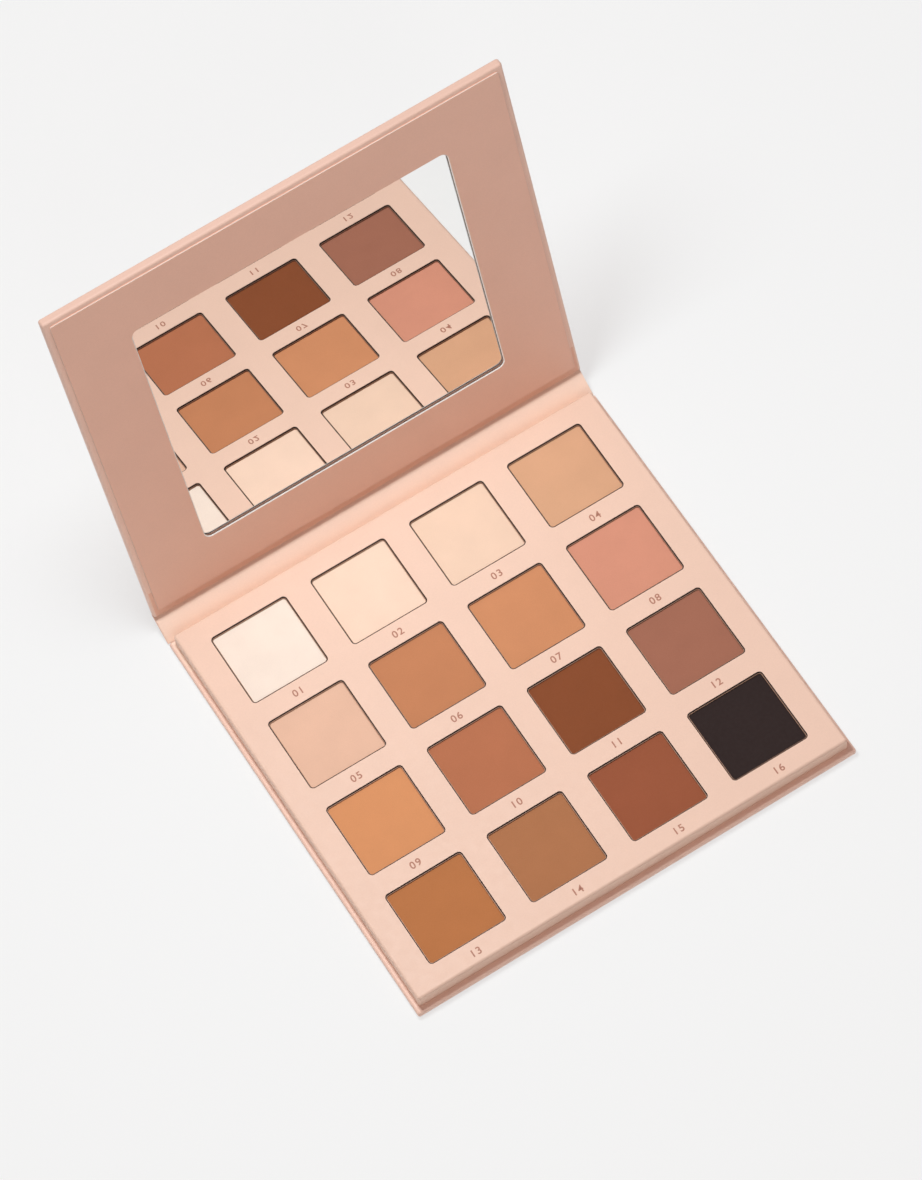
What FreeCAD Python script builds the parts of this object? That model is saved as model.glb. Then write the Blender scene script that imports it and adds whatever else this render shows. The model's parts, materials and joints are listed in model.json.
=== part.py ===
import FreeCAD, Part
import math
import os

import Sketcher

# An eyeshadow palette in a book-style case of wrapped boards: a base with a
# windowed tray of square pans, a narrow spine, and a lid with a mirror.
#
# Frame, in millimetres: the origin is the centre of the base's underside,
# +X runs along the hinge, +Y points at the hinge side, +Z is up.
#
# The base is modelled where it lies. The spine and the lid are modelled lying
# flat, as the case is when it is fully opened, and are then folded up about
# their creases. In the spine's and the lid's own frames the origin is on the
# crease, Y runs away from it and Z points to the inside of the case.

SIZES = {
    # the case, over its paper
    "case_width": 154.0,
    "case_depth": 147.0,
    "paper_t": 0.15,
    "base_board_t": 2.1,
    "turn_in": 12.0,
    "wrap_edge_r": 0.8,
    # the tray: a folded card cover over a die-cut core, set in from the edges
    # of the base, with a margin round its windows
    "tray_side_ledge": 1.7,
    "tray_front_ledge": 2.1,
    "tray_rear_gap": 0.7,
    "tray_side_margin": 8.77,
    "tray_end_margin": 7.31,
    "tray_height": 5.2,
    "tray_edge_r": 0.8,
    "card_t": 0.6,
    "core_fit": 0.2,
    "floor_t": 0.4,
    # the pans and what is pressed into them
    "pan_size": 26.2,
    "pan_gap": 0.3,
    "pan_height": 4.2,
    "pan_wall": 0.2,
    "pan_corner_r": 1.1,
    "pan_base_r": 0.45,
    "cake_drop": 0.4,
    "cake_edge_r": 0.2,
    "glue_t": 0.2,
    "glue_dia": 16.0,
    # the spine and its two creases
    "hinge_gap": 1.1,
    "crease_relief": 0.3,
    "spine_card_t": 0.4,
    "lining_t": 0.1,
    "lining_rise": 0.6,
    "closed_gap": 0.2,
    "spine_fold": 36.4,
    "lid_fold": 44.4,
    # the lid and its mirror
    "cover_board_t": 1.25,
    "liner_t": 0.5,
    "liner_margin": 2.0,
    "liner_hinge_margin": 3.0,
    "liner_corner_r": 0.6,
    "liner_fit": 0.2,
    "mirror_width": 107.2,
    "mirror_depth": 103.3,
    "mirror_corner_r": 2.7,
    "glass_t": 1.0,
    "glass_lap": 2.0,
    "glass_fit": 0.4,
    "glass_recess": 0.3,
    "glass_arris": 0.15,
    "tape_t": 0.1,
    "tape_margin": 4.0,
    # the closure's magnets
    "magnet_dia": 5.0,
    "magnet_t": 1.0,
    "magnet_fit": 0.1,
    "magnet_spacing": 100.0,
    "magnet_inset": 4.0,
}

COLUMNS = 4
ROWS = 4
LEVEL_TOLERANCE = 1e-4
LEAST_CUT = 1e-6
FILLET_SHARE = 0.9

doc = FreeCAD.newDocument("EyeshadowPalette")
sheet = doc.addObject("Spreadsheet::Sheet", "Sizes")
for row, (alias, number) in enumerate(SIZES.items(), start=1):
    sheet.set("A%d" % row, alias)
    sheet.set("B%d" % row, str(number))
    sheet.setAlias("B%d" % row, alias)
doc.recompute()


class Dim:
    """A size: its value now, and the expression that ties it to the sheet."""

    def __init__(self, value, text):
        self.value = float(value)
        self.text = text

    def __add__(self, other):
        other = as_dim(other)
        return Dim(self.value + other.value, "(%s + %s)" % (self.text, other.text))

    def __sub__(self, other):
        other = as_dim(other)
        return Dim(self.value - other.value, "(%s - %s)" % (self.text, other.text))

    def __mul__(self, other):
        other = as_dim(other)
        return Dim(self.value * other.value, "(%s * %s)" % (self.text, other.text))

    def __truediv__(self, other):
        other = as_dim(other)
        return Dim(self.value / other.value, "(%s / %s)" % (self.text, other.text))

    def __neg__(self):
        return Dim(-self.value, "(-%s)" % self.text)


def as_dim(number):
    if isinstance(number, Dim):
        return number
    return Dim(number, "(%s)" % repr(float(number)))


def size(alias):
    return Dim(sheet.get(alias), "Sizes.%s" % alias)


def least(one, other):
    return Dim(min(one.value, other.value), "min(%s; %s)" % (one.text, other.text))


def cosine(angle):
    return Dim(math.cos(math.radians(angle.value)), "cos(%s * 1deg)" % angle.text)


def sine(angle):
    return Dim(math.sin(math.radians(angle.value)), "sin(%s * 1deg)" % angle.text)


ZERO = as_dim(0)

case_width = size("case_width")
case_depth = size("case_depth")
paper_t = size("paper_t")
turn_in = size("turn_in")
hinge_gap = size("hinge_gap")
crease_relief = size("crease_relief")
lining_t = size("lining_t")
card_t = size("card_t")
floor_t = size("floor_t")
tray_height = size("tray_height")
tray_edge_r = size("tray_edge_r")
pan_size = size("pan_size")
pan_gap = size("pan_gap")
pan_wall = size("pan_wall")
pan_corner_r = size("pan_corner_r")
liner_t = size("liner_t")
glass_t = size("glass_t")
tape_t = size("tape_t")
magnet_dia = size("magnet_dia")
magnet_t = size("magnet_t")
magnet_fit = size("magnet_fit")
magnet_spacing = size("magnet_spacing")
mirror_width = size("mirror_width")
mirror_depth = size("mirror_depth")
board_width = case_width - paper_t * 2

# The boards' edges are eased and the paper follows them round. A thin board
# limits the radius.
base_edge_r = least(size("wrap_edge_r") - paper_t, size("base_board_t") * FILLET_SHARE / 2)
lid_edge_r = least(size("wrap_edge_r") - paper_t, size("cover_board_t") * FILLET_SHARE)

# The tray fits between the ledges of the base, and its outer windows keep
# their margins, so the pans spread with the case.
window = pan_size + pan_gap * 2
window_r = pan_corner_r + pan_gap
tray_width = case_width - size("tray_side_ledge") * 2
tray_depth = case_depth - size("tray_front_ledge") - size("tray_rear_gap")
pitch_x = (tray_width - size("tray_side_margin") * 2 - window) / (COLUMNS - 1)
pitch_y = (tray_depth - size("tray_end_margin") * 2 - window) / (ROWS - 1)

# Thicknesses of the stacked panels.
base_t = paper_t * 2 + size("base_board_t")
frame_board_t = size("glass_recess") + glass_t + tape_t
lid_t = paper_t * 2 + size("cover_board_t") + frame_board_t

# The crease lines lie in the middle of the outer paper. Closed, the spine
# stands upright and the lid lies on the tray with its small gap, so the
# distance between the creases follows from the stack.
hinge_y = case_depth / 2 + hinge_gap
hinge_z = paper_t / 2
spine_pitch = base_t + tray_height + size("closed_gap") + liner_t + lid_t - paper_t
spine_length = spine_pitch - crease_relief * 2
spine_fold = size("spine_fold")
lid_angle = spine_fold + size("lid_fold")
lid_hinge_y = hinge_y + spine_pitch * cosine(spine_fold)
lid_hinge_z = hinge_z + spine_pitch * sine(spine_fold)

# The tray stands near the hinge side of the base.
tray_y = case_depth / 2 - size("tray_rear_gap") - tray_depth / 2
tray_inner_width = tray_width - card_t * 2
tray_inner_depth = tray_depth - card_t * 2
core_t = tray_height - card_t - floor_t
first_x = -(pitch_x * (COLUMNS - 1) / 2)
first_y = -(pitch_y * (ROWS - 1) / 2)
pan_z = base_t + floor_t + size("glue_t")

# The magnets in the tray and in the lid meet when the case is closed.
magnet_y = size("magnet_inset") - tray_depth / 2
lid_magnet_y = hinge_y - tray_y - magnet_y

parts = []


def bind(thing, prop, dim):
    thing.setExpression(prop, dim.text)


def place(thing, x=ZERO, y=ZERO, z=ZERO, angle=None):
    """Put a piece at a point, turned about X, all tied to the sheet."""
    rotation = FreeCAD.Rotation(FreeCAD.Vector(1, 0, 0), angle.value if angle else 0)
    thing.Placement = FreeCAD.Placement(FreeCAD.Vector(x.value, y.value, z.value), rotation)
    bind(thing, "Placement.Base.x", x)
    bind(thing, "Placement.Base.y", y)
    bind(thing, "Placement.Base.z", z)
    if angle:
        bind(thing, "Placement.Rotation.Angle", angle)


def on_base(thing, x=ZERO, y=ZERO, z=ZERO):
    place(thing, x, y, z)


def on_spine(thing):
    place(thing, ZERO, hinge_y, hinge_z, spine_fold)


def on_lid(thing):
    place(thing, ZERO, lid_hinge_y, lid_hinge_z, lid_angle)


def new_body(name):
    body = doc.addObject("PartDesign::Body", name)
    body.Label = name
    parts.append(body)
    return body


def new_sketch(body, name, x=ZERO, y=ZERO, z=ZERO, role="XY_Plane"):
    """A sketch on one of the body's own planes, moved by (x, y, z) in its frame."""
    sketch = body.newObject("Sketcher::SketchObject", name)
    plane = [p for p in body.Origin.OriginFeatures if p.Role == role][0]
    sketch.AttachmentSupport = [(plane, "")]
    sketch.MapMode = "FlatFace"
    offset = FreeCAD.Vector(x.value, y.value, z.value)
    sketch.AttachmentOffset = FreeCAD.Placement(offset, FreeCAD.Rotation())
    bind(sketch, "AttachmentOffset.Base.x", x)
    bind(sketch, "AttachmentOffset.Base.y", y)
    bind(sketch, "AttachmentOffset.Base.z", z)
    return sketch


def driven(sketch, kind, references, dim):
    """Add a dimension to the sketch and tie it to the sheet."""
    index = sketch.addConstraint(Sketcher.Constraint(kind, *references, dim.value))
    bind(sketch, "Constraints[%d]" % index, dim)


def rectangle(sketch, width, depth):
    """A rectangle centred on the sketch's origin."""
    x = width.value / 2
    y = depth.value / 2
    corners = [(-x, -y), (x, -y), (x, y), (-x, y)]
    points = [FreeCAD.Vector(px, py, 0) for px, py in corners]
    sides = []
    for i in range(4):
        sides.append(sketch.addGeometry(Part.LineSegment(points[i], points[(i + 1) % 4])))
    for i in range(4):
        following = sides[(i + 1) % 4]
        sketch.addConstraint(Sketcher.Constraint("Coincident", sides[i], 2, following, 1))
    for i in (0, 2):
        sketch.addConstraint(Sketcher.Constraint("Horizontal", sides[i]))
    for i in (1, 3):
        sketch.addConstraint(Sketcher.Constraint("Vertical", sides[i]))
    sketch.addConstraint(Sketcher.Constraint("Symmetric", sides[0], 1, sides[2], 1, -1, 1))
    driven(sketch, "DistanceX", (sides[0], 1, sides[0], 2), width)
    driven(sketch, "DistanceY", (sides[1], 1, sides[1], 2), depth)


def rounded_rectangle(sketch, width, depth, radius):
    """A rectangle with rounded corners, centred on the sketch's origin."""
    r = radius.value
    x = width.value / 2 - r
    y = depth.value / 2 - r
    centres = [(x, y), (-x, y), (-x, -y), (x, -y)]
    arcs = []
    for turn, (cx, cy) in enumerate(centres):
        circle = Part.Circle(FreeCAD.Vector(cx, cy, 0), FreeCAD.Vector(0, 0, 1), r)
        start = turn * math.pi / 2
        arcs.append(sketch.addGeometry(Part.ArcOfCircle(circle, start, start + math.pi / 2)))
    starts = [sketch.getPoint(arc, 1) for arc in arcs]
    ends = [sketch.getPoint(arc, 2) for arc in arcs]
    sides = []
    for i in range(4):
        sides.append(sketch.addGeometry(Part.LineSegment(ends[i], starts[(i + 1) % 4])))
    for i in range(4):
        following = arcs[(i + 1) % 4]
        sketch.addConstraint(Sketcher.Constraint("Tangent", arcs[i], 2, sides[i], 1))
        sketch.addConstraint(Sketcher.Constraint("Tangent", sides[i], 2, following, 1))
    for i in (0, 2):
        sketch.addConstraint(Sketcher.Constraint("Horizontal", sides[i]))
    for i in (1, 3):
        sketch.addConstraint(Sketcher.Constraint("Vertical", sides[i]))
    for arc in arcs[1:]:
        sketch.addConstraint(Sketcher.Constraint("Equal", arcs[0], arc))
    sketch.addConstraint(Sketcher.Constraint("Symmetric", arcs[0], 3, arcs[2], 3, -1, 1))
    driven(sketch, "Radius", (arcs[0],), radius)
    driven(sketch, "DistanceX", (arcs[1], 3, arcs[0], 3), width - radius * 2)
    driven(sketch, "DistanceY", (arcs[3], 3, arcs[0], 3), depth - radius * 2)


def arched_section(sketch, chord, side, rise):
    """A flat strip's section with an arched top, standing on the sketch's origin."""
    half = chord.value / 2
    feet = [FreeCAD.Vector(-half, 0, 0), FreeCAD.Vector(half, 0, 0)]
    tops = [FreeCAD.Vector(x, side.value, 0) for x in (-half, half)]
    crown = FreeCAD.Vector(0, side.value + rise.value, 0)
    foot = sketch.addGeometry(Part.LineSegment(feet[0], feet[1]))
    right = sketch.addGeometry(Part.LineSegment(feet[1], tops[1]))
    arch = sketch.addGeometry(Part.Arc(tops[1], crown, tops[0]))
    left = sketch.addGeometry(Part.LineSegment(tops[0], feet[0]))
    outline = [foot, right, arch, left]
    for i in range(4):
        following = outline[(i + 1) % 4]
        sketch.addConstraint(Sketcher.Constraint("Coincident", outline[i], 2, following, 1))
    sketch.addConstraint(Sketcher.Constraint("Horizontal", foot))
    sketch.addConstraint(Sketcher.Constraint("Vertical", right))
    sketch.addConstraint(Sketcher.Constraint("Vertical", left))
    sketch.addConstraint(Sketcher.Constraint("Equal", left, right))
    sketch.addConstraint(Sketcher.Constraint("Symmetric", foot, 1, foot, 2, -1, 1))
    driven(sketch, "DistanceX", (foot, 1, foot, 2), chord)
    driven(sketch, "DistanceY", (right, 1, right, 2), side)
    driven(sketch, "Radius", (arch,), (chord * chord / 4 + rise * rise) / (rise * 2))


def disc(sketch, diameter):
    """A circle on the sketch's origin."""
    centre = FreeCAD.Vector(0, 0, 0)
    circle = Part.Circle(centre, FreeCAD.Vector(0, 0, 1), diameter.value / 2)
    index = sketch.addGeometry(circle)
    sketch.addConstraint(Sketcher.Constraint("Coincident", index, 3, -1, 1))
    driven(sketch, "Diameter", (index,), diameter)


def pad(body, sketch, name, length):
    feature = body.newObject("PartDesign::Pad", name)
    feature.Profile = sketch
    bind(feature, "Length", length)
    return feature


def pocket(body, sketch, name, length, upward=True):
    """Cut from the sketch's plane, upward along its normal or downward."""
    feature = body.newObject("PartDesign::Pocket", name)
    feature.Profile = sketch
    feature.Reversed = upward
    bind(feature, "Length", length)
    return feature


def level_edges(feature, height):
    """Names of the feature's edges that lie level at one height."""
    doc.recompute()
    names = []
    for number, edge in enumerate(feature.Shape.Edges, start=1):
        box = edge.BoundBox
        if max(abs(box.ZMin - height), abs(box.ZMax - height)) < LEVEL_TOLERANCE:
            names.append("Edge%d" % number)
    return names


def on_plane(box, y):
    """Whether a bounding box lies on the plane at one Y."""
    return max(abs(box.YMin - y), abs(box.YMax - y)) < LEVEL_TOLERANCE


def ease(body, name, hinge_side, levels, radius):
    """Round a panel's level edges at these heights and its upright corners, on
    the three sides away from the hinge."""
    base = body.Tip
    doc.recompute()
    names = []
    for number, edge in enumerate(base.Shape.Edges, start=1):
        box = edge.BoundBox
        upright = box.ZLength > LEVEL_TOLERANCE
        level = any(abs(box.ZMin - height.value) < LEVEL_TOLERANCE for height in levels)
        if (upright or level) and not on_plane(box, hinge_side.value):
            names.append("Edge%d" % number)
    feature = body.newObject("PartDesign::Fillet", name)
    feature.Base = (base, names)
    bind(feature, "Radius", radius)
    return feature


def shell(body, name, hinge_side, wall):
    """Hollow a panel out to a thin wall, open at its hinge side."""
    base = body.Tip
    doc.recompute()
    names = []
    for number, face in enumerate(base.Shape.Faces, start=1):
        if on_plane(face.BoundBox, hinge_side.value):
            names.append("Face%d" % number)
    feature = body.newObject("PartDesign::Thickness", name)
    feature.Base = (base, names)
    feature.Reversed = True
    bind(feature, "Value", wall)
    return feature


def fillet(body, base, name, height, radius):
    """Round every level edge of the base feature at one height."""
    feature = body.newObject("PartDesign::Fillet", name)
    feature.Base = (base, level_edges(base, height))
    bind(feature, "Radius", radius)
    return feature


def chamfer(body, base, name, height, amount):
    """Bevel every level edge of the base feature at one height."""
    feature = body.newObject("PartDesign::Chamfer", name)
    feature.Base = (base, level_edges(base, height))
    bind(feature, "Size", amount)
    return feature


def pan_grid(body, original, sketch, name):
    """Repeat a feature at every pan's place, from the first one."""
    pattern = body.newObject("PartDesign::LinearPattern", name)
    pattern.Originals = [original]
    pattern.Direction = (sketch, ["H_Axis"])
    pattern.Mode = "Extent"
    pattern.Occurrences = COLUMNS
    bind(pattern, "Length", pitch_x * (COLUMNS - 1))
    pattern.Direction2 = (sketch, ["V_Axis"])
    pattern.Mode2 = "Extent"
    pattern.Occurrences2 = ROWS
    bind(pattern, "Length2", pitch_y * (ROWS - 1))
    body.Tip = pattern
    return pattern


def magnet_pair(body, original, sketch, name):
    """Repeat a feature at the second magnet's place."""
    pattern = body.newObject("PartDesign::LinearPattern", name)
    pattern.Originals = [original]
    pattern.Direction = (sketch, ["H_Axis"])
    pattern.Mode = "Extent"
    pattern.Occurrences = 2
    bind(pattern, "Length", magnet_spacing)
    body.Tip = pattern
    return pattern


def sheet_piece(name, width, y_from, depth, z_from, thickness):
    """A flat rectangular sheet, centred across the case."""
    body = new_body(name)
    sketch = new_sketch(body, name + "_outline", ZERO, y_from + depth / 2, z_from)
    rectangle(sketch, width, depth)
    pad(body, sketch, name + "_sheet", thickness)
    return body


def wrapped_cover(name, y_from, hinge_side, z_from, thickness, board_r):
    """The outer paper of a board: it covers the outside and three edges, and
    is turned in along them. The hinge side is open for the lining."""
    body = new_body(name)
    middle = y_from + case_depth / 2
    z_top = z_from + thickness
    inward = 1 if hinge_side.value < middle.value else -1
    outline = new_sketch(body, name + "_outline", ZERO, middle, z_from)
    rectangle(outline, case_width, case_depth)
    pad(body, outline, name + "_slab", thickness)
    ease(body, name + "_edges", hinge_side, (z_from, z_top), board_r + paper_t)
    # The board's room runs out through the hinge side.
    shell(body, name + "_board_room", hinge_side, paper_t)
    # Inside the turned-in margin the paper leaves the board bare.
    bare = new_sketch(body, name + "_bare", ZERO, middle, z_top - paper_t)
    rectangle(bare, case_width - turn_in * 2, case_depth - turn_in * 2)
    pocket(body, bare, name + "_bare_board", paper_t)
    # Along the hinge the lining takes the turned-in margin's place.
    strip_y = hinge_side + turn_in * inward / 2
    strip = new_sketch(body, name + "_strip", ZERO, strip_y, z_top - paper_t)
    rectangle(strip, board_width - board_r * 2, turn_in)
    pocket(body, strip, name + "_lining_room", paper_t)
    return body


def edge_lining(name, y_edge, inward, z_from, thickness, board_r):
    """The paper that covers a board's hinge edge and laps onto its inside."""
    body = new_body(name)
    width = board_width - board_r * 2
    flap = new_sketch(body, name + "_flap", ZERO, y_edge + turn_in * inward / 2,
                      z_from + thickness - paper_t)
    rectangle(flap, width, turn_in)
    pad(body, flap, name + "_lap", paper_t)
    edge = new_sketch(body, name + "_edge", ZERO, y_edge + paper_t * inward / 2, z_from + paper_t)
    rectangle(edge, width, paper_t)
    pad(body, edge, name + "_edge_cover", thickness - paper_t)
    return body


def hinge_strip(name, y_crease, z_crease, first_run, first_angle, second_run, second_angle):
    """The paper that crosses a gap between boards, bent at the crease. Each
    run is a thin strip from the crease outward, and the bend is rounded. It is
    as wide as the flat between the eased edges of the boards."""
    width = board_width - base_edge_r * 2
    pieces = []
    for label, run, angle in (("a", first_run, first_angle), ("b", second_run, second_angle)):
        leaf = doc.addObject("Part::Box", "%s_%s" % (name, label))
        bind(leaf, "Length", width)
        bind(leaf, "Width", run)
        bind(leaf, "Height", paper_t)
        rise = paper_t / 2
        y = y_crease + sine(angle) * rise
        z = z_crease - cosine(angle) * rise
        place(leaf, -(width / 2), y, z, angle)
        pieces.append(leaf)
    bend = doc.addObject("Part::Cylinder", name + "_bend")
    bind(bend, "Radius", paper_t / 2)
    bind(bend, "Height", width)
    bend.Placement = FreeCAD.Placement(
        FreeCAD.Vector(-width.value / 2, y_crease.value, z_crease.value),
        FreeCAD.Rotation(FreeCAD.Vector(0, 1, 0), 90))
    bind(bend, "Placement.Base.x", -(width / 2))
    bind(bend, "Placement.Base.y", y_crease)
    bind(bend, "Placement.Base.z", z_crease)
    pieces.append(bend)
    strip = doc.addObject("Part::MultiFuse", name)
    strip.Label = name
    strip.Shapes = pieces
    strip.Refine = True
    parts.append(strip)
    return strip


def build_base():
    rear = case_depth / 2
    board_t = size("base_board_t")
    on_base(wrapped_cover("base_wrap", -rear, rear, ZERO, base_t, base_edge_r))
    board = sheet_piece("base_board", board_width, -rear + paper_t, case_depth - paper_t * 2,
                        paper_t, board_t)
    ease(board, "base_board_edges", rear - paper_t, (paper_t, paper_t + board_t), base_edge_r)
    on_base(board)
    on_base(edge_lining("base_lining", rear, -1, ZERO, base_t, base_edge_r))
    fit = size("liner_fit")
    on_base(sheet_piece("base_liner", case_width - turn_in * 2 - fit * 2, -rear + turn_in + fit,
                        case_depth - turn_in * 2 - fit * 2, base_t - paper_t, paper_t))


def build_tray_card():
    """The tray's cover: one card with a window over each pan and folded sides."""
    body = new_body("tray_card")
    outline = new_sketch(body, "tray_outline")
    rounded_rectangle(outline, tray_width, tray_depth, tray_edge_r)
    block = pad(body, outline, "tray_block", tray_height)
    fillet(body, block, "tray_folds", tray_height.value, tray_edge_r)
    hollow = new_sketch(body, "tray_hollow")
    rounded_rectangle(hollow, tray_inner_width, tray_inner_depth, tray_edge_r)
    pocket(body, hollow, "tray_inside", tray_height - card_t)
    cut = new_sketch(body, "tray_window", first_x, first_y)
    rounded_rectangle(cut, window, window, window_r)
    opening = pocket(body, cut, "tray_first_window", tray_height)
    pan_grid(body, opening, cut, "tray_windows")
    on_base(body, ZERO, tray_y, base_t)


def build_tray_core():
    """The die-cut filler that holds the pans upright and the magnets in place."""
    fit = size("core_fit")
    body = new_body("tray_core")
    outline = new_sketch(body, "core_outline")
    rounded_rectangle(outline, tray_inner_width - fit * 2, tray_inner_depth - fit * 2, tray_edge_r)
    pad(body, outline, "core_block", core_t)
    cut = new_sketch(body, "core_hole", first_x, first_y)
    rounded_rectangle(cut, window, window, window_r)
    opening = pocket(body, cut, "core_first_hole", core_t)
    pan_grid(body, opening, cut, "core_holes")
    seat = new_sketch(body, "core_magnet_seat", -(magnet_spacing / 2), magnet_y, core_t - magnet_t)
    disc(seat, magnet_dia + magnet_fit * 2)
    first_seat = pocket(body, seat, "core_first_seat", magnet_t)
    magnet_pair(body, first_seat, seat, "core_seats")
    on_base(body, ZERO, tray_y, base_t + floor_t)


def build_tray_floor():
    """The card that closes the tray from below and carries the pans."""
    fit = size("core_fit")
    body = new_body("tray_floor")
    outline = new_sketch(body, "floor_outline")
    rounded_rectangle(outline, tray_inner_width - fit * 2, tray_inner_depth - fit * 2, tray_edge_r)
    pad(body, outline, "floor_sheet", floor_t)
    on_base(body, ZERO, tray_y, base_t)


def build_glue():
    """A dot of glue under each pan, all of them one group."""
    body = new_body("pan_glue")
    body.AllowCompound = True
    dot = new_sketch(body, "glue_dot", first_x, first_y)
    disc(dot, size("glue_dia"))
    first_dot = pad(body, dot, "glue_first_dot", size("glue_t"))
    pan_grid(body, first_dot, dot, "glue_dots")
    on_base(body, ZERO, tray_y, base_t + floor_t)


def build_pan(number, x, y):
    """A drawn metal pan: rounded corners, a rounded bottom edge, an open top."""
    name = "pan_%02d" % number
    height = size("pan_height")
    body = new_body(name)
    outline = new_sketch(body, name + "_outline")
    rounded_rectangle(outline, pan_size, pan_size, pan_corner_r)
    block = pad(body, outline, name + "_block", height)
    fillet(body, block, name + "_draw", 0, size("pan_base_r"))
    inside = new_sketch(body, name + "_inside", ZERO, ZERO, pan_wall)
    inner = pan_size - pan_wall * 2
    rounded_rectangle(inside, inner, inner, pan_corner_r - pan_wall)
    pocket(body, inside, name + "_hollow", height - pan_wall)
    on_base(body, x, tray_y + y, pan_z)


def build_shade(number, x, y):
    """The pressed powder in a pan, just under its rim, with an eased top edge."""
    name = "shade_%02d" % number
    depth = size("pan_height") - pan_wall - size("cake_drop")
    inner = pan_size - pan_wall * 2
    body = new_body(name)
    outline = new_sketch(body, name + "_outline")
    rounded_rectangle(outline, inner, inner, pan_corner_r - pan_wall)
    cake = pad(body, outline, name + "_cake", depth)
    fillet(body, cake, name + "_edge", depth.value, size("cake_edge_r"))
    on_base(body, x, tray_y + y, pan_z + pan_wall)


def build_pans():
    """Pans and shades are numbered in rows, from the hinge side, left to right."""
    number = 0
    for row in range(ROWS):
        y = first_y + pitch_y * (ROWS - 1 - row)
        for column in range(COLUMNS):
            x = first_x + pitch_x * column
            number += 1
            build_pan(number, x, y)
            build_shade(number, x, y)


def build_magnets(name, y, z):
    body = new_body(name)
    body.AllowCompound = True
    outline = new_sketch(body, name + "_disc", -(magnet_spacing / 2), y, z)
    disc(outline, magnet_dia)
    first = pad(body, outline, name + "_first", magnet_t)
    magnet_pair(body, first, outline, name + "_pair")
    return body


def build_spine():
    """A narrow card between the creases, with paper outside and lining inside."""
    body = new_body("spine_wrap")
    middle = crease_relief + spine_length / 2
    outline = new_sketch(body, "spine_outline", ZERO, middle, -(paper_t / 2))
    rectangle(outline, case_width, spine_length)
    pad(body, outline, "spine_slab", paper_t + size("spine_card_t"))
    room = new_sketch(body, "spine_room", ZERO, middle, paper_t / 2)
    rectangle(room, board_width, spine_length)
    pocket(body, room, "spine_card_room", size("spine_card_t"))
    on_spine(body)
    on_spine(sheet_piece("spine_board", board_width, crease_relief, spine_length,
                         paper_t / 2, size("spine_card_t")))
    # The lining bulges a little off the card, as paper does over a crease.
    lining = new_body("spine_lining")
    section = new_sketch(lining, "lining_section", middle, paper_t / 2 + size("spine_card_t"),
                         -(board_width / 2), "YZ_Plane")
    arched_section(section, spine_length, lining_t, size("lining_rise"))
    pad(lining, section, "lining_arch", board_width)
    on_spine(lining)


def build_lid_boards():
    """The lid's paper, its cover board, and the frame board round the mirror."""
    outside = -(paper_t / 2)
    board_z = paper_t / 2
    frame_z = board_z + size("cover_board_t")
    hinge_side = hinge_gap
    board_side = hinge_gap + paper_t
    board_depth = case_depth - paper_t * 2
    on_lid(wrapped_cover("lid_wrap", hinge_gap, hinge_side, outside, lid_t, lid_edge_r))
    on_lid(edge_lining("lid_lining", hinge_side, 1, outside, lid_t, lid_edge_r))
    cover = sheet_piece("lid_cover_board", board_width, board_side, board_depth,
                        board_z, size("cover_board_t"))
    ease(cover, "cover_board_edges", board_side, (board_z,), lid_edge_r)
    on_lid(cover)
    frame = sheet_piece("lid_frame_board", board_width, board_side, board_depth,
                        frame_z, frame_board_t)
    ease(frame, "frame_board_edges", board_side, (frame_z + frame_board_t,), lid_edge_r)
    reach = (size("glass_lap") + size("glass_fit")) * 2
    cut = new_sketch(frame, "frame_opening", ZERO, hinge_gap + case_depth / 2, frame_z)
    rounded_rectangle(cut, mirror_width + reach, mirror_depth + reach,
                      size("mirror_corner_r"))
    pocket(frame, cut, "frame_mirror_room", frame_board_t)
    seat = new_sketch(frame, "frame_magnet_seat", -(magnet_spacing / 2), lid_magnet_y, frame_z)
    disc(seat, magnet_dia + magnet_fit * 2)
    first_seat = pocket(frame, seat, "frame_first_seat", frame_board_t)
    magnet_pair(frame, first_seat, seat, "frame_seats")
    on_lid(frame)
    on_lid(build_magnets("lid_magnets", lid_magnet_y, frame_z))


def build_mirror():
    """The glass, the tape behind it, and the printed card that frames it."""
    middle = hinge_gap + case_depth / 2
    frame_z = paper_t / 2 + size("cover_board_t")
    lap = size("glass_lap") * 2
    glass = new_body("mirror_glass")
    outline = new_sketch(glass, "glass_outline", ZERO, middle, frame_z + tape_t)
    rounded_rectangle(outline, mirror_width + lap, mirror_depth + lap,
                      size("mirror_corner_r"))
    pane = pad(glass, outline, "glass_pane", glass_t)
    front = frame_z + tape_t + glass_t
    chamfer(glass, pane, "glass_arris_edge", front.value, size("glass_arris"))
    on_lid(glass)
    margin = size("tape_margin") * 2
    on_lid(sheet_piece("mirror_tape", mirror_width + lap - margin,
                       middle - (mirror_depth + lap - margin) / 2,
                       mirror_depth + lap - margin, frame_z, tape_t))

    liner = new_body("lid_liner")
    edge_margin = size("liner_margin")
    hinge_margin = size("liner_hinge_margin")
    liner_depth = case_depth - edge_margin - hinge_margin
    liner_y = hinge_gap + hinge_margin + liner_depth / 2
    face_z = lid_t - paper_t / 2
    card = new_sketch(liner, "liner_outline", ZERO, liner_y, face_z)
    rounded_rectangle(card, case_width - edge_margin * 2, liner_depth, size("liner_corner_r"))
    pad(liner, card, "liner_card", liner_t)
    fit = size("liner_fit") * 2
    backing = new_sketch(liner, "liner_backing", ZERO, middle, face_z - paper_t)
    rectangle(backing, case_width - turn_in * 2 - fit, case_depth - turn_in * 2 - fit)
    pad(liner, backing, "liner_backing_sheet", paper_t)
    cut = new_sketch(liner, "liner_window", ZERO, middle, face_z - paper_t)
    rounded_rectangle(cut, mirror_width, mirror_depth, size("mirror_corner_r"))
    pocket(liner, cut, "liner_mirror_window", liner_t + paper_t)
    on_lid(liner)


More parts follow.
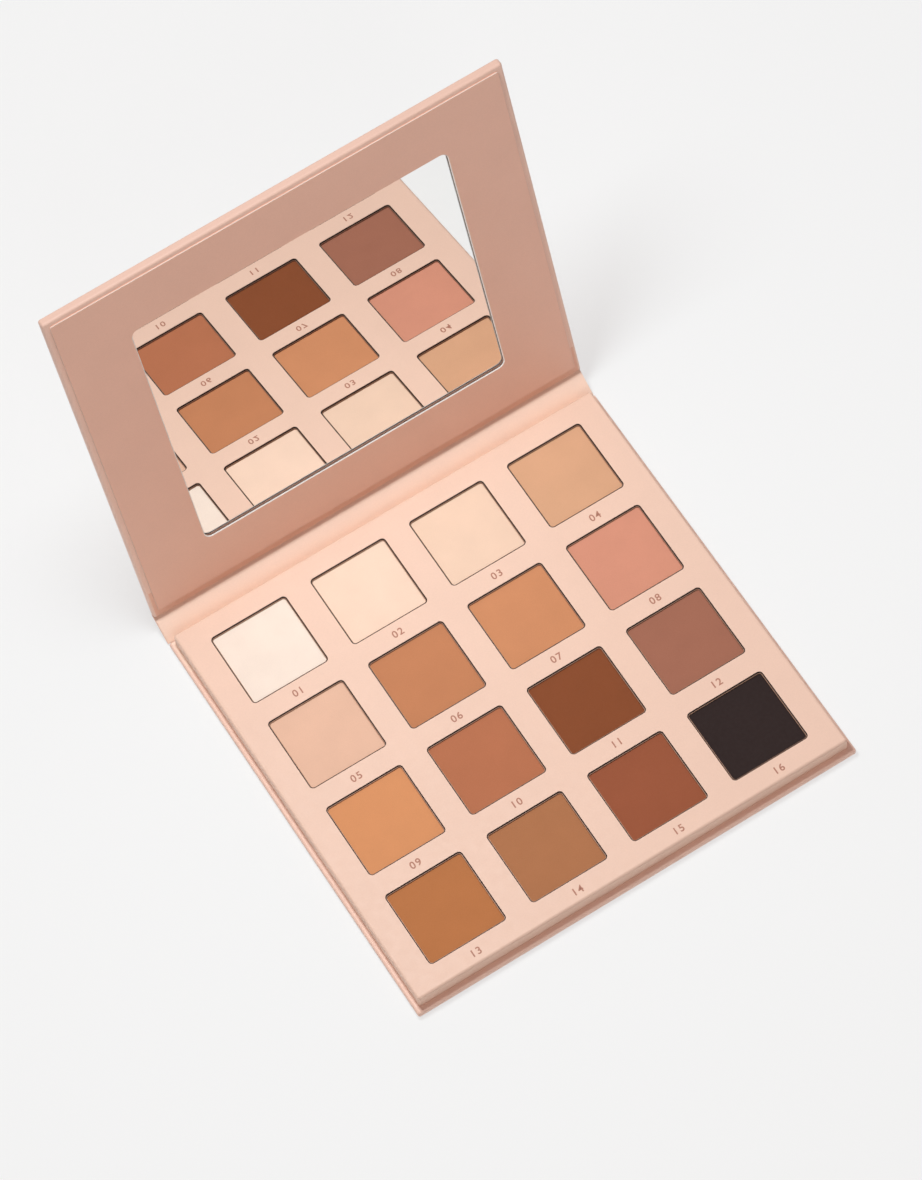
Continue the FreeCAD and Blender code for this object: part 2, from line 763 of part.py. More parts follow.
def build_hinges():
    """The outer paper across the two gaps between the boards."""
    half_turn = as_dim(180)
    hinge_strip("lower_hinge_strip", hinge_y, hinge_z, hinge_gap, half_turn,
                crease_relief, spine_fold)
    hinge_strip("upper_hinge_strip", lid_hinge_y, lid_hinge_z, crease_relief,
                spine_fold + half_turn, hinge_gap, lid_angle)


def check_document():
    """Stop on any failed feature, on a cut that removes nothing, on a bad solid."""
    for thing in doc.Objects:
        if "Invalid" in thing.State or "Error" in thing.State:
            raise RuntimeError("%s did not build" % thing.Label)
        if thing.TypeId == "PartDesign::Pocket":
            before = thing.BaseFeature.Shape.Volume
            if thing.Shape.Volume > before - LEAST_CUT:
                raise RuntimeError("%s cuts nothing" % thing.Label)
    for thing in parts:
        if thing.Shape.isNull() or not thing.Shape.isValid() or not thing.Shape.Solids:
            raise RuntimeError("%s has no valid solid" % thing.Label)


build_base()
build_tray_card()
build_tray_core()
build_tray_floor()
build_glue()
build_pans()
on_base(build_magnets("tray_magnets", magnet_y, core_t - magnet_t), ZERO, tray_y, base_t + floor_t)
build_spine()
build_lid_boards()
build_mirror()
build_hinges()
doc.recompute()
check_document()

os.makedirs("parts", exist_ok=True)
for thing in parts:
    thing.Shape.exportStep(os.path.join("parts", thing.Label + ".step"))
print("%d pieces written" % len(parts))
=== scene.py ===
"""The looks of an open eyeshadow palette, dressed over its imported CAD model."""

import json
import math

import bpy
from mathutils import Matrix, Vector


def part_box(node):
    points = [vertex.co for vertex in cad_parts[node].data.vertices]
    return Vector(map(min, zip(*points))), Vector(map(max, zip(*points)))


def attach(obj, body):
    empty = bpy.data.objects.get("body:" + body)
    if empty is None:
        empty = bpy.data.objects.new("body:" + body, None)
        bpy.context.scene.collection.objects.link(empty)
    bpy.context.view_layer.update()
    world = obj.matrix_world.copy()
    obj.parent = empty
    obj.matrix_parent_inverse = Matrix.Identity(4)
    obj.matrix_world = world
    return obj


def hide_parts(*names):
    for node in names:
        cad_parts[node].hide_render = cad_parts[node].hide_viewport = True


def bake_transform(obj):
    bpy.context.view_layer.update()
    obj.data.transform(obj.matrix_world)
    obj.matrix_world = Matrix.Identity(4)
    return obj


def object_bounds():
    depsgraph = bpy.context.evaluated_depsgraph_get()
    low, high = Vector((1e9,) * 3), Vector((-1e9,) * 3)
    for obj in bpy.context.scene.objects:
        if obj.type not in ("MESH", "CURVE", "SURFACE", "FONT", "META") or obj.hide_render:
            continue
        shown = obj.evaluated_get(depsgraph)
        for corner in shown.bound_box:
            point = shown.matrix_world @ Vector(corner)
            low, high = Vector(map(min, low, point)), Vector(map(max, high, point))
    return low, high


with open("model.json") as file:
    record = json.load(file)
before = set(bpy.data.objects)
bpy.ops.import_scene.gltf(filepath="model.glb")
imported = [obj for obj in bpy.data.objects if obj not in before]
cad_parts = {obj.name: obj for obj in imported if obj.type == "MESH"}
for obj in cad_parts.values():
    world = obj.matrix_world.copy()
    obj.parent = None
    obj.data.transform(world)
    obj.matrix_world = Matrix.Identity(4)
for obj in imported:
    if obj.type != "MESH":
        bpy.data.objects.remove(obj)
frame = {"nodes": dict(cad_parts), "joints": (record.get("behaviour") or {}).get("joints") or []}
cad_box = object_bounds()
nodes = frame["nodes"]

MM = 0.001

# The creases: where each one lies, and how far the part beyond it is folded up
# from flat. The base lies level.
creases = {joint["name"]: Vector(joint["pos_m"]) for joint in frame["joints"]}
folds = {joint["name"]: math.radians(-joint["range_deg"][0]) for joint in frame["joints"]}
spine_crease = creases["spine_hinge"]
lid_crease = creases["lid_hinge"]
base_slope = 0.0
spine_slope = base_slope + folds["spine_hinge"]
lid_slope = spine_slope + folds["lid_hinge"]


def to_linear(value):
    """One channel of a screen colour, 0 to 255, as light: the sRGB curve."""
    share = value / 255
    if share <= 0.04045:
        return share / 12.92
    return ((share + 0.055) / 1.055) ** 2.4


def srgb(red, green, blue):
    """A screen colour as the light that a shader takes."""
    return (to_linear(red), to_linear(green), to_linear(blue), 1.0)


def scaled(colour, factor):
    """A lighter or darker tone of a colour."""
    return tuple(min(1.0, channel * factor) for channel in colour[:3]) + (1.0,)


# The case, its print and what holds it together.
PEACH_CARD = srgb(243, 212, 192)
# The tray's card made pinker and a little darker: painted shade and warm bounce on the lid.
LID_CARD_SHADED = srgb(244, 201, 180)
PEACH_PAPER = srgb(250, 216, 198)
PEACH_LINING = srgb(253, 227, 208)
# A redder, darker tone of the case paper: painted shade in the crease at the lid's foot.
PEACH_FOLD_SHADE = srgb(242, 196, 173)
LABEL_INK = srgb(181, 128, 108)
BARE_CARD = srgb(240, 238, 233)
GREYBOARD = srgb(168, 160, 150)
# Greyboard darkened to brown: painted shade where the core shows in the pan gaps.
SHADED_CORE_BOARD = srgb(92, 68, 57)
# Tin made dark and warm: painted shade for the dark rim lines, and a painted warm reflection.
SHADED_TIN = srgb(152, 120, 103)
NICKEL = srgb(196, 194, 190)
SILVER = srgb(248, 248, 247)
GLUE = srgb(228, 220, 196)
TAPE = srgb(226, 226, 222)
# Painted shade: the dark of the seam between the lid's card and the mirror.
SEAM_SHADE = srgb(66, 54, 52)
# Painted shade: the near-black of the narrow gaps round the pans.
GAP_SHADE = srgb(22, 13, 10)

# The pressed powders.
IVORY = srgb(253, 241, 227)
CREAM = srgb(253, 226, 204)
PALE_NUDE = srgb(246, 218, 194)
SAND = srgb(223, 176, 140)
PINK_BEIGE = srgb(240, 200, 174)
CARAMEL = srgb(203, 139, 99)
ORANGE_TAN = srgb(214, 150, 108)
DUSTY_PINK = srgb(222, 157, 132)
AMBER_TAN = srgb(226, 159, 110)
ROSE_BROWN = srgb(191, 123, 89)
CHOCOLATE = srgb(141, 82, 51)
MAUVE_BROWN = srgb(169, 115, 94)
GOLDEN_CARAMEL = srgb(194, 128, 80)
OLIVE_TAUPE = srgb(183, 126, 87)
RED_BROWN = srgb(160, 94, 66)
SOFT_BLACK = srgb(51, 41, 40)

POWDERS = {
    "shade_01": IVORY,
    "shade_02": CREAM,
    "shade_03": PALE_NUDE,
    "shade_04": SAND,
    "shade_05": PINK_BEIGE,
    "shade_06": CARAMEL,
    "shade_07": ORANGE_TAN,
    "shade_08": DUSTY_PINK,
    "shade_09": AMBER_TAN,
    "shade_10": ROSE_BROWN,
    "shade_11": CHOCOLATE,
    "shade_12": MAUVE_BROWN,
    "shade_13": GOLDEN_CARAMEL,
    "shade_14": OLIVE_TAUPE,
    "shade_15": RED_BROWN,
    "shade_16": SOFT_BLACK,
}

# Tints that a base colour is multiplied by, from grain to grain.
PAPER_SPECK = srgb(251, 251, 251)
POWDER_SPECK = srgb(246, 246, 246)
NO_TINT = srgb(255, 255, 255)

# Most values of a noise lie between these.
NOISE_LOW = 0.3
NOISE_HIGH = 0.7


class Look:
    """A material under construction: its node tree and its main shader."""

    def __init__(self, name):
        self.material = bpy.data.materials.new(name)
        self.material.use_nodes = True
        self.tree = self.material.node_tree
        self.shader = self.tree.nodes["Principled BSDF"]
        self.place = self.tree.nodes.new("ShaderNodeTexCoord").outputs["Object"]

    def socket(self, name):
        """An input of the main shader, such as Base_Color."""
        return self.shader.inputs[name.replace("_", " ")]

    def set(self, **values):
        """Values that are the same all over, such as Metallic=1."""
        for name, value in values.items():
            self.socket(name).default_value = value

    def vary(self, **outputs):
        """Values that come from other nodes and change over the surface."""
        for name, output in outputs.items():
            self.link(output, self.socket(name))

    def link(self, output, target):
        self.tree.links.new(output, target)

    def noise(self, grain, detail, stretch=(1, 1, 1)):
        """Noise whose grains are about this many millimetres across."""
        scaling = self.tree.nodes.new("ShaderNodeMapping")
        scaling.inputs["Scale"].default_value = stretch
        self.link(self.place, scaling.inputs["Vector"])
        texture = self.tree.nodes.new("ShaderNodeTexNoise")
        texture.inputs["Scale"].default_value = 1 / (grain * MM)
        texture.inputs["Detail"].default_value = detail
        self.link(scaling.outputs["Vector"], texture.inputs["Vector"])
        return texture.outputs["Fac"]

    def ramp(self, source, low, high, start=NOISE_LOW, end=NOISE_HIGH):
        """Colours from low to high along a noise."""
        node = self.tree.nodes.new("ShaderNodeValToRGB")
        stops = node.color_ramp.elements
        stops[0].position = start
        stops[0].color = low
        stops[1].position = end
        stops[1].color = high
        self.link(source, node.inputs["Fac"])
        return node.outputs["Color"]

    def tones(self, source, colour, dark, light):
        """One colour along a noise, from a darker to a lighter tone of it."""
        return self.ramp(source, scaled(colour, dark), scaled(colour, light))

    def span(self, source, low, high):
        """Numbers from low to high along a noise."""
        node = self.tree.nodes.new("ShaderNodeMapRange")
        node.inputs["From Min"].default_value = NOISE_LOW
        node.inputs["From Max"].default_value = NOISE_HIGH
        node.inputs["To Min"].default_value = low
        node.inputs["To Max"].default_value = high
        self.link(source, node.inputs["Value"])
        return node.outputs["Result"]

    def around(self, source, middle, swing):
        """Numbers along a noise that lie this far to both sides of a middle."""
        return self.span(source, middle - swing, middle + swing)

    def multiply(self, first, second):
        """The product of two colours."""
        node = self.tree.nodes.new("ShaderNodeMix")
        node.data_type = "RGBA"
        node.blend_type = "MULTIPLY"
        node.inputs["Factor"].default_value = 1.0
        colour_inputs = [socket for socket in node.inputs if socket.type == "RGBA"]
        self.link(first, colour_inputs[0])
        self.link(second, colour_inputs[1])
        return [socket for socket in node.outputs if socket.type == "RGBA"][0]

    def bump(self, source, height, strength, under=None):
        """Relief of about this many millimetres, over another where one is given."""
        node = self.tree.nodes.new("ShaderNodeBump")
        node.inputs["Strength"].default_value = strength
        node.inputs["Distance"].default_value = height * MM
        self.link(source, node.inputs["Height"])
        if under is not None:
            self.link(under, node.inputs["Normal"])
        return node.outputs["Normal"]


def paper(name, colour, roughness, tooth):
    """Coated paper or card: a faint cloudy tint, fine tooth and a low sheen."""
    look = Look(name)
    cloud = look.tones(look.noise(grain=14, detail=3), colour, dark=0.985, light=1.01)
    fibre = look.noise(grain=0.5, detail=5)
    speck = look.ramp(fibre, PAPER_SPECK, NO_TINT)
    sheen = look.around(look.noise(grain=2.5, detail=3), roughness, swing=0.05)
    waves = look.bump(look.noise(grain=9, detail=2), height=0.02, strength=0.25)
    relief = look.bump(fibre, tooth, strength=0.35, under=waves)
    look.vary(Base_Color=look.multiply(cloud, speck), Roughness=sheen, Normal=relief)
    look.set(Specular_IOR_Level=0.35)
    return look.material


def board(name, colour):
    """Raw greyboard: flecks of recycled fibre."""
    look = Look(name)
    fleck = look.noise(grain=0.9, detail=6, stretch=(1, 0.35, 1))
    relief = look.bump(fleck, height=0.05, strength=0.5)
    look.vary(Base_Color=look.tones(fleck, colour, dark=0.82, light=1.1), Normal=relief)
    look.set(Roughness=0.95, Specular_IOR_Level=0.2)
    return look.material


def powder(name, colour):
    """Pressed powder: fine dry grain, a faint cloud of tone, no gloss."""
    look = Look(name)
    cloud = look.tones(look.noise(grain=9, detail=3), colour, dark=0.975, light=1.02)
    grains = look.noise(grain=0.22, detail=6)
    speck = look.ramp(grains, POWDER_SPECK, NO_TINT, start=0.32, end=0.6)
    pressed = look.bump(look.noise(grain=5, detail=2), height=0.03, strength=0.2)
    relief = look.bump(grains, height=0.03, strength=0.4, under=pressed)
    dryness = look.span(look.noise(grain=1.1, detail=3), low=0.82, high=0.95)
    look.vary(Base_Color=look.multiply(cloud, speck), Roughness=dryness, Normal=relief)
    look.set(Specular_IOR_Level=0.15)
    return look.material


def metal(name, colour, roughness, drawn):
    """Bare metal with the fine lines that drawing leaves along one way."""
    look = Look(name)
    lines = look.noise(grain=0.3, detail=4, stretch=drawn)
    look.vary(Base_Color=look.tones(lines, colour, dark=0.88, light=1.05),
              Roughness=look.around(lines, roughness, swing=0.07),
              Normal=look.bump(lines, height=0.01, strength=0.3))
    look.set(Metallic=1.0)
    return look.material


def mirror(name, colour):
    """Silvered glass, with the faintest haze."""
    look = Look(name)
    haze = look.noise(grain=18, detail=3)
    look.vary(Base_Color=look.tones(haze, colour, dark=0.985, light=1.0),
              Roughness=look.span(haze, low=0.0, high=0.012))
    look.set(Metallic=1.0)
    return look.material


def film(name, colour, roughness):
    """Glue, tape, ink, or painted shade in a gap or seam: one colour with a little unevenness.
    """
    look = Look(name)
    patch = look.noise(grain=1.2, detail=3)
    look.vary(Base_Color=look.tones(patch, colour, dark=0.95, light=1.04),
              Roughness=look.around(patch, roughness, swing=0.06))
    look.set(Specular_IOR_Level=0.3)
    return look.material


case_paper = paper("case_paper", PEACH_PAPER, roughness=0.5, tooth=0.015)
lining_paper = paper("lining_paper", PEACH_LINING, roughness=0.48, tooth=0.012)
# The lid's lining at the crease: the paper with painted shade.
fold_paper_painted_shade = paper("fold_paper_painted_shade", PEACH_FOLD_SHADE, roughness=0.5, tooth=0.012)
printed_card = paper("printed_card", PEACH_CARD, roughness=0.52, tooth=0.012)
# The lid's card: a copy of the printed card with painted shade.
lid_card_painted_shade = paper("lid_card_painted_shade", LID_CARD_SHADED, roughness=0.52, tooth=0.012)
bare_card = paper("bare_card", BARE_CARD, roughness=0.8, tooth=0.03)
greyboard = board("greyboard", GREYBOARD)
# The tray's core board, with painted shade in its colour.
core_board_painted_shade = board("core_board_painted_shade", SHADED_CORE_BOARD)
# The pans' metal, with painted shade and a painted warm reflection in its colour.
pan_tin = metal("pan_tin", SHADED_TIN, roughness=0.6, drawn=(1, 1, 0.12))
nickel = metal("nickel", NICKEL, roughness=0.28, drawn=(1, 1, 1))
silvered_glass = mirror("silvered_glass", SILVER)
hot_glue = film("hot_glue", GLUE, roughness=0.4)
mounting_tape = film("mounting_tape", TAPE, roughness=0.6)
label_ink = film("label_ink", LABEL_INK, roughness=0.6)
# Painted shade for the seam round the mirror.
painted_seam_shade = film("painted_seam_shade", SEAM_SHADE, roughness=0.6)
# Painted shade for the gaps round the pans.
painted_gap_shade = film("painted_gap_shade", GAP_SHADE, roughness=0.8)

NODE_LOOKS = {
    "base_wrap": case_paper,
    "spine_wrap": case_paper,
    "lid_wrap": case_paper,
    "lower_hinge_strip": case_paper,
    "upper_hinge_strip": case_paper,
    "base_lining": lining_paper,
    "base_liner": lining_paper,
    "spine_lining": lining_paper,
    # Painted shade: the lid's lining takes the darker crease paper.
    "lid_lining": fold_paper_painted_shade,
    "tray_card": printed_card,
    # Painted shade: the lid's liner takes the darker, pinker card.
    "lid_liner": lid_card_painted_shade,
    "base_board": greyboard,
    "spine_board": greyboard,
    "lid_cover_board": greyboard,
    "lid_frame_board": greyboard,
    "tray_core": core_board_painted_shade,
    "tray_floor": greyboard,
    "pan_glue": hot_glue,
    "tray_magnets": nickel,
    "lid_magnets": nickel,
    "mirror_glass": silvered_glass,
    "mirror_tape": mounting_tape,
}
for shade, colour in POWDERS.items():
    NODE_LOOKS[shade] = powder(shade + "_powder", colour)
    NODE_LOOKS[shade.replace("shade", "pan")] = pan_tin


def wear(thing, material):
    """Give every slot of a piece this material."""
    if not thing.material_slots:
        thing.data.materials.append(material)
    for slot in thing.material_slots:
        slot.material = material


for name, node in nodes.items():
    wear(node, NODE_LOOKS[name])


def add_mesh(name, points, faces, material):
    """A new object of these points and faces, all in one material."""
    mesh = bpy.data.meshes.new(name)
    mesh.from_pydata(points, [], faces)
    mesh.update()
    thing = bpy.data.objects.new(name, mesh)
    bpy.context.scene.collection.objects.link(thing)
    wear(thing, material)
    return thing


def along(slope):
    """The direction that runs away from the base at a slope, square to X."""
    return Vector((0, math.cos(slope), math.sin(slope)))


def inward(slope):
    """The direction that points to the inside of the case from such a panel."""
    return Vector((0, -math.sin(slope), math.cos(slope)))


def lid_box(name):
    """A node's lowest and highest corners in the lid's own frame."""
    sides = (Vector((1, 0, 0)), along(lid_slope), inward(lid_slope))
    places = [vertex.co - lid_crease for vertex in nodes[name].data.vertices]
    spans = [[place.dot(side) for place in places] for side in sides]
    return Vector([min(span) for span in spans]), Vector([max(span) for span in spans])


# The outer paper across the creases: it bends within a short roll, and reaches
# the spine's own paper at CREASE_RELIEF past the crease.
PAPER_T = 0.15 * MM
CREASE_RELIEF = 0.3 * MM
CREASE_ROLL = 0.25 * MM
ROLL_STEPS = 6


def crease_line(crease, before, slope_before, after, slope_after):
    """Points of the paper's middle line with their slopes, through the bend, and
    the points where the bend starts and ends."""
    start = crease - along(slope_before) * CREASE_ROLL
    end = crease + along(slope_after) * CREASE_ROLL
    line = [(crease - along(slope_before) * before, slope_before)]
    for step in range(ROLL_STEPS + 1):
        share = step / ROLL_STEPS
        point = start.lerp(crease, share).lerp(crease.lerp(end, share), share)
        line.append((point, slope_before + (slope_after - slope_before) * share))
    line.append((crease + along(slope_after) * after, slope_after))
    return line, start, end


def add_crease_paper(name, node, crease, before, slope_before, after, slope_after):
    """A strip of the outer paper, bent through the crease between the two panels it joins."""
    line, start, end = crease_line(crease, before, slope_before, after, slope_after)
    low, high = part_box(node)
    section = ((low.x, -1), (high.x, -1), (high.x, 1), (low.x, 1))
    count = len(section)
    points = []
    for point, slope in line:
        for x, side in section:
            points.append(Vector((x, 0, 0)) + point + inward(slope) * (side * PAPER_T / 2))
    first_end = tuple(range(count))
    last_end = tuple(reversed(range(len(points) - count, len(points))))
    faces = [first_end]
    for row in range(len(line) - 1):
        first = row * count
        for corner in range(count):
            following = (corner + 1) % count
            faces.append((first + corner, first + count + corner,
                          first + count + following, first + following))
    faces.append(last_end)
    paper_strip = add_mesh(name, points, faces, case_paper)
    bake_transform(paper_strip)
    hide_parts(node)


base_gap = spine_crease.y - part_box("base_wrap")[1].y
lid_gap = lid_box("lid_wrap")[0].y
add_crease_paper("lower_crease_paper", "lower_hinge_strip",
                 spine_crease, base_gap, base_slope, CREASE_RELIEF, spine_slope)
add_crease_paper("upper_crease_paper", "upper_hinge_strip",
                 lid_crease, CREASE_RELIEF, spine_slope, lid_gap, lid_slope)


CORNER_STEPS = 8


def rounded_outline(half_width, half_depth, radius):
    """Points round a rectangle with rounded corners, about its centre."""
    points = []
    for turn, (side_x, side_y) in enumerate(((1, 1), (-1, 1), (-1, -1), (1, -1))):
        centre = Vector((side_x * (half_width - radius), side_y * (half_depth - radius)))
        for step in range(CORNER_STEPS + 1):
            angle = (turn + step / CORNER_STEPS) * math.pi / 2
            points.append(centre + Vector((math.cos(angle), math.sin(angle))) * radius)
    return points


def ring(low, high, radius, section, place):
    """Points and faces of a thin ring round a box with rounded corners. Its
    section is given as points: how far inside the box, and at what level."""
    middle = (low + high) / 2
    half = (high - low) / 2
    points = []
    for inset, level in section:
        for spot in rounded_outline(half.x - inset, half.y - inset, radius - inset):
            points.append(place(middle.x + spot.x, middle.y + spot.y, level))
    count = len(points) // len(section)
    faces = []
    for row in range(len(section)):
        first = row * count
        second = (row + 1) % len(section) * count
        for corner in range(count):
            following = (corner + 1) % count
            faces.append((first + corner, first + following,
                          second + following, second + corner))
    return points, faces


def skin(near, far, bottom, top):
    """The section of a flat skin, from its outer lower corner."""
    return ((near, bottom), (near, top), (far, top), (far, bottom))


def on_lid(x, y, level):
    """A place given in the lid's own frame."""
    return lid_crease + Vector((x, 0, 0)) + along(lid_slope) * y + inward(lid_slope) * level


def on_tray(x, y, level):
    """A place given in the tray's frame, which is that of the whole palette."""
    return Vector((x, y, level))


def add_trim(name, points, faces, body, material):
    """A thin film on the printed card, which rides on a body."""
    trim = add_mesh(name, points, faces, material)
    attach(trim, body)


# The card round the mirror shows its white core where it is cut: all round the
# card, and as a fine arris on the mirror's window, over a dark film of painted
# shade for the shadow in the seam.
GLASS_LAP = 2.0 * MM
CARD_CORNER = 0.6 * MM
WINDOW_CORNER = 2.7 * MM
CUT_SKIN = 0.03 * MM
CUT_ARRIS = 0.28 * MM
CUT_EDGE = 0.2 * MM


def add_card_edges():
    """The cut edges of the lid's card, and painted shade in the seam between it and the mirror.
    """
    card_low, card_high = lid_box("lid_liner")
    glass_low, glass_high = lid_box("mirror_glass")
    lap = Vector((GLASS_LAP, GLASS_LAP, 0))
    window = (glass_low + lap, glass_high - lap, WINDOW_CORNER)
    back = card_low.z + CUT_SKIN
    face = card_high.z - CUT_SKIN / 2
    arris = face - CUT_ARRIS
    near = CUT_SKIN / 2
    far = near + CUT_SKIN
    outside = ring(card_low, card_high, CARD_CORNER,
                   skin(-far, -near, face - CUT_EDGE, face), on_lid)
    add_trim("card_cut_edge", *outside, "lid", bare_card)
    bevel = ((near, arris), (near, face), (near + CUT_ARRIS, arris))
    add_trim("window_cut_edge", *ring(*window, bevel, on_lid), "lid", bare_card)
    # A dark film of painted shade under the arris, down to the card's back.
    seam = skin(near, far, back, arris)
    add_trim("window_painted_shade", *ring(*window, seam, on_lid), "lid", painted_seam_shade)


# The gap between each pan and its window in the tray's card. A dark film of
# painted shade stands in it, a little below the card's face.
CARD_T = 0.6 * MM
PAN_GAP = 0.3 * MM
PAN_CORNER = 1.1 * MM
GAP_DEPTH = 0.12 * MM
GAP_CLEARANCE = 0.015 * MM


def add_pan_gaps():
    """The dark film of painted shade that shows in the narrow gap round each pan."""
    card_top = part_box("tray_card")[1].z
    section = skin(GAP_CLEARANCE, PAN_GAP - GAP_CLEARANCE,
                   card_top - CARD_T, card_top - GAP_DEPTH)
    room = Vector((PAN_GAP, PAN_GAP, 0))
    points = []
    faces = []
    for shade in POWDERS:
        low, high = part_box(shade.replace("shade", "pan"))
        more_points, more_faces = ring(low - room, high + room, PAN_CORNER + PAN_GAP,
                                       section, on_tray)
        start = len(points)
        points.extend(more_points)
        faces.extend(tuple(start + corner for corner in face) for face in more_faces)
    add_trim("pan_gap_filler", points, faces, "base", painted_gap_shade)


add_card_edges()
add_pan_gaps()


# The numbers printed under the pans.
LABEL_HEIGHT = 3.4 * MM
LABEL_DROP = 4.2 * MM
LABEL_FILM = 0.01 * MM
LABEL_WEIGHT = 0.05 * MM
LABEL_SPACING = 1.2


def add_number(number):
    """A pan's number, centred under it on the tray's card."""
    pan_low, pan_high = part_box("pan_%02d" % number)
    card_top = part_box("tray_card")[1].z
    text = bpy.data.curves.new("number_%02d" % number, "FONT")
    text.body = "%02d" % number
    text.size = LABEL_HEIGHT
    text.space_character = LABEL_SPACING
    text.align_x = "CENTER"
    text.align_y = "CENTER"
    text.extrude = LABEL_FILM
    text.offset = LABEL_WEIGHT
    thing = bpy.data.objects.new(text.name, text)
    bpy.context.scene.collection.objects.link(thing)
    middle = (pan_low.x + pan_high.x) / 2
    thing.location = (middle, pan_low.y - LABEL_DROP, card_top + LABEL_FILM)
    wear(thing, label_ink)
    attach(thing, "base")


for number in range(1, len(POWDERS) + 1):
    add_number(number)


# The stage: a pale floor under the palette, which runs into a plain background.
# The floor's own tone is cool because the light is warm. It shows the
# background's tone for one share, and its own with the shadows for the rest.
BACKGROUND = srgb(246, 246, 246)
FLOOR_DROP = 0.2 * MM
FLOOR_REACH = 8.0
FLOOR_TONE = srgb(246, 254, 255)
SHADOWLESS = 0.72
FILL_LIGHT = (0.292, 0.205, 0.187, 1.0)


def seen_directly(tree):
    """1 for what the camera sees itself, or in metal or through glass."""
    path = tree.nodes.new("ShaderNodeLightPath")
    total = path.outputs["Is Camera Ray"]
    for name in ("Is Glossy Ray", "Is Transmission Ray"):
        larger = tree.nodes.new("ShaderNodeMath")
        larger.operation = "MAXIMUM"
        tree.links.new(total, larger.inputs[0])
        tree.links.new(path.outputs[name], larger.inputs[1])
        total = larger.outputs["Value"]
    return total


def mix_shaders(tree, factor, first, second, end):
    """Show the first shader at factor 0 and the second at factor 1."""
    mix = tree.nodes.new("ShaderNodeMixShader")
    tree.links.new(factor, mix.inputs["Fac"])
    tree.links.new(first, mix.inputs[1])
    tree.links.new(second, mix.inputs[2])
    tree.links.new(mix.outputs["Shader"], tree.nodes[end].inputs["Surface"])


def add_floor():
    """A wide plain sheet just under the palette."""
    reach = FLOOR_REACH
    height = cad_box[0].z - FLOOR_DROP
    corners = [(-reach, -reach, height), (reach, -reach, height),
               (reach, reach, height), (-reach, reach, height)]
    look = Look("floor")
    cloud = look.noise(grain=400, detail=2)
    look.vary(Base_Color=look.tones(cloud, FLOOR_TONE, dark=1.0, light=1.005))
    look.set(Roughness=1.0, Specular_IOR_Level=0.0)
    tree = look.tree
    glow = tree.nodes.new("ShaderNodeEmission")
    glow.inputs["Color"].default_value = BACKGROUND
    share = tree.nodes.new("ShaderNodeMath")
    share.operation = "MULTIPLY"
    share.inputs[1].default_value = SHADOWLESS
    tree.links.new(seen_directly(tree), share.inputs[0])
    mix_shaders(tree, share.outputs["Value"], look.shader.outputs["BSDF"],
                glow.outputs["Emission"], "Material Output")
    floor = add_mesh("floor", corners, [(0, 1, 2, 3)], look.material)


def add_world():
    """A warm fill light from all round, and the plain background."""
    world = bpy.data.worlds.new("studio")
    bpy.context.scene.world = world
    world.use_nodes = True
    tree = world.node_tree
    ambient = tree.nodes["Background"]
    ambient.inputs["Color"].default_value = FILL_LIGHT
    backdrop = tree.nodes.new("ShaderNodeBackground")
    backdrop.inputs["Color"].default_value = BACKGROUND
    mix_shaders(tree, seen_directly(tree), ambient.outputs["Background"],
                backdrop.outputs["Background"], "World Output")


# The key lamp hangs above the lid: it grazes the lid, and the tray shades the
# base's front edge. At this energy a white surface that faces the lamp shows
# LAMP_LIGHT. A weak light from the front adds FRONT_LEVEL to a level white one.
LAMP_PLACE = Vector((-40, 95, 420)) * MM
LAMP_LIGHT = (0.631, 0.643, 0.649)
LAMP_ENERGY = 4 * math.pi ** 2
LAMP_RADIUS = 50 * MM
FRONT_FROM = Vector((-0.15, -0.7, 0.7))
FRONT_LEVEL = 0.05
FRONT_SPREAD = math.radians(14)


def add_light(name, kind, energy):
    """A new light at the origin."""
    light = bpy.data.lights.new(name, kind)
    light.energy = energy
    thing = bpy.data.objects.new(name, light)
    bpy.context.scene.collection.objects.link(thing)
    return thing


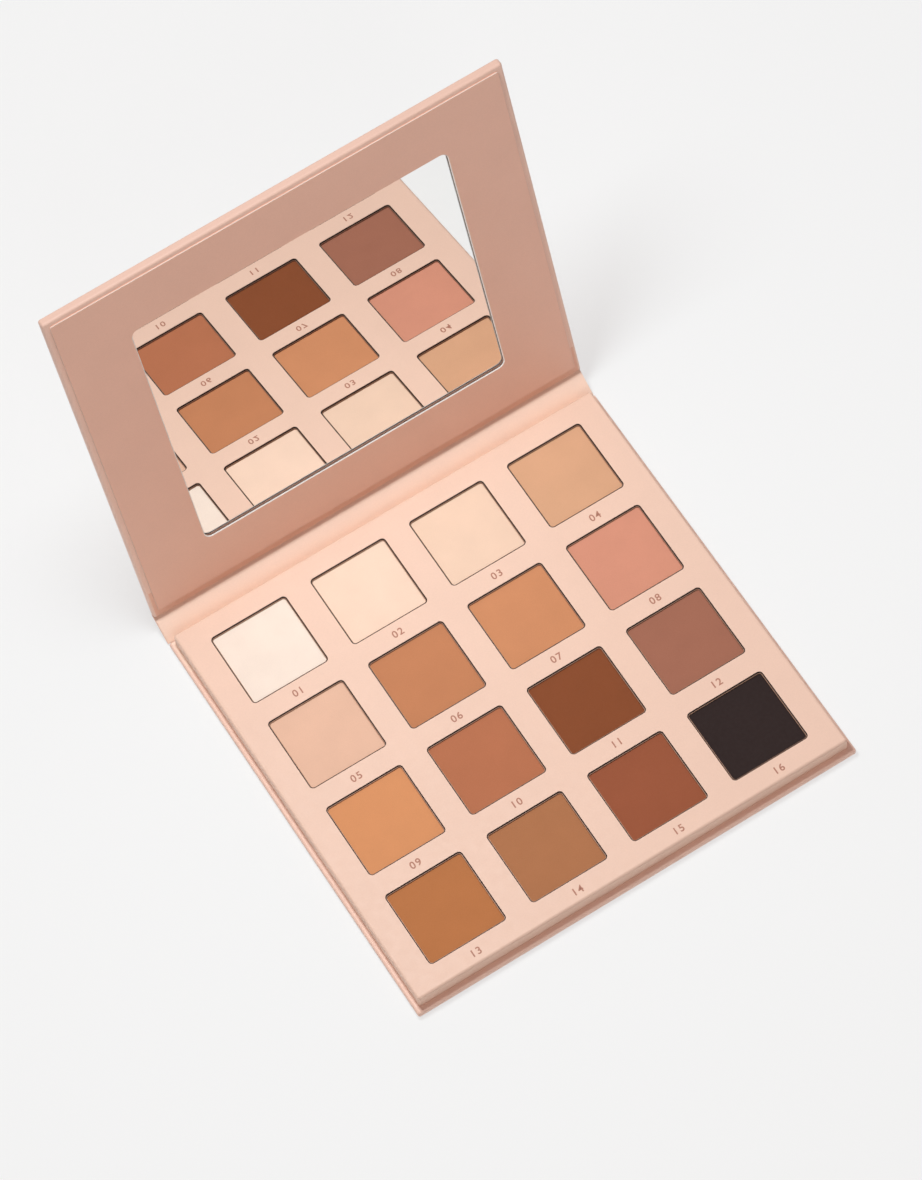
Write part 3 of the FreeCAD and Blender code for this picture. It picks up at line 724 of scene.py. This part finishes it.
def add_lamp():
    """Its light is as strong far off as near, as that of a large soft box."""
    lamp = add_light("lamp", "POINT", LAMP_ENERGY)
    lamp.location = LAMP_PLACE
    lamp.data.color = LAMP_LIGHT
    lamp.data.shadow_soft_size = LAMP_RADIUS
    lamp.data.use_nodes = True
    tree = lamp.data.node_tree
    even = tree.nodes.new("ShaderNodeLightFalloff")
    even.inputs["Strength"].default_value = 1.0
    tree.links.new(even.outputs["Constant"], tree.nodes["Emission"].inputs["Strength"])


def add_front_light():
    """A weak, even light that comes from FRONT_FROM."""
    front = add_light("front", "SUN", FRONT_LEVEL * math.pi / FRONT_FROM.normalized().z)
    front.data.angle = FRONT_SPREAD
    front.rotation_mode = "QUATERNION"
    front.rotation_quaternion = FRONT_FROM.to_track_quat("Z", "Y")


# The camera looks at a point on the tray, from the front left and above. Its
# lens is in millimetres, on Blender's own film size.
CAMERA_TARGET = Vector((5.84, 36.48, 7.6)) * MM
CAMERA_DISTANCE = 1650.2 * MM
CAMERA_TURN = math.radians(21.51)
CAMERA_ELEVATION = math.radians(62.47)
CAMERA_ROLL = math.radians(11.3)
CAMERA_LENS = 165.45


def add_camera():
    """The photograph's camera."""
    level = math.cos(CAMERA_ELEVATION)
    ahead = Vector((math.sin(CAMERA_TURN) * level, math.cos(CAMERA_TURN) * level,
                    -math.sin(CAMERA_ELEVATION)))
    level_right = ahead.cross(Vector((0, 0, 1))).normalized()
    level_up = level_right.cross(ahead)
    right = level_right * math.cos(CAMERA_ROLL) - level_up * math.sin(CAMERA_ROLL)
    up = level_up * math.cos(CAMERA_ROLL) + level_right * math.sin(CAMERA_ROLL)
    turn = Matrix((right, up, -ahead)).transposed().to_4x4()
    camera = bpy.data.objects.new("camera", bpy.data.cameras.new("camera"))
    bpy.context.scene.collection.objects.link(camera)
    camera.matrix_world = Matrix.Translation(CAMERA_TARGET - ahead * CAMERA_DISTANCE) @ turn
    camera.data.lens = CAMERA_LENS
    bpy.context.scene.camera = camera


add_floor()
add_world()
add_lamp()
add_front_light()
add_camera()
bpy.context.scene.view_settings.view_transform = "Standard"
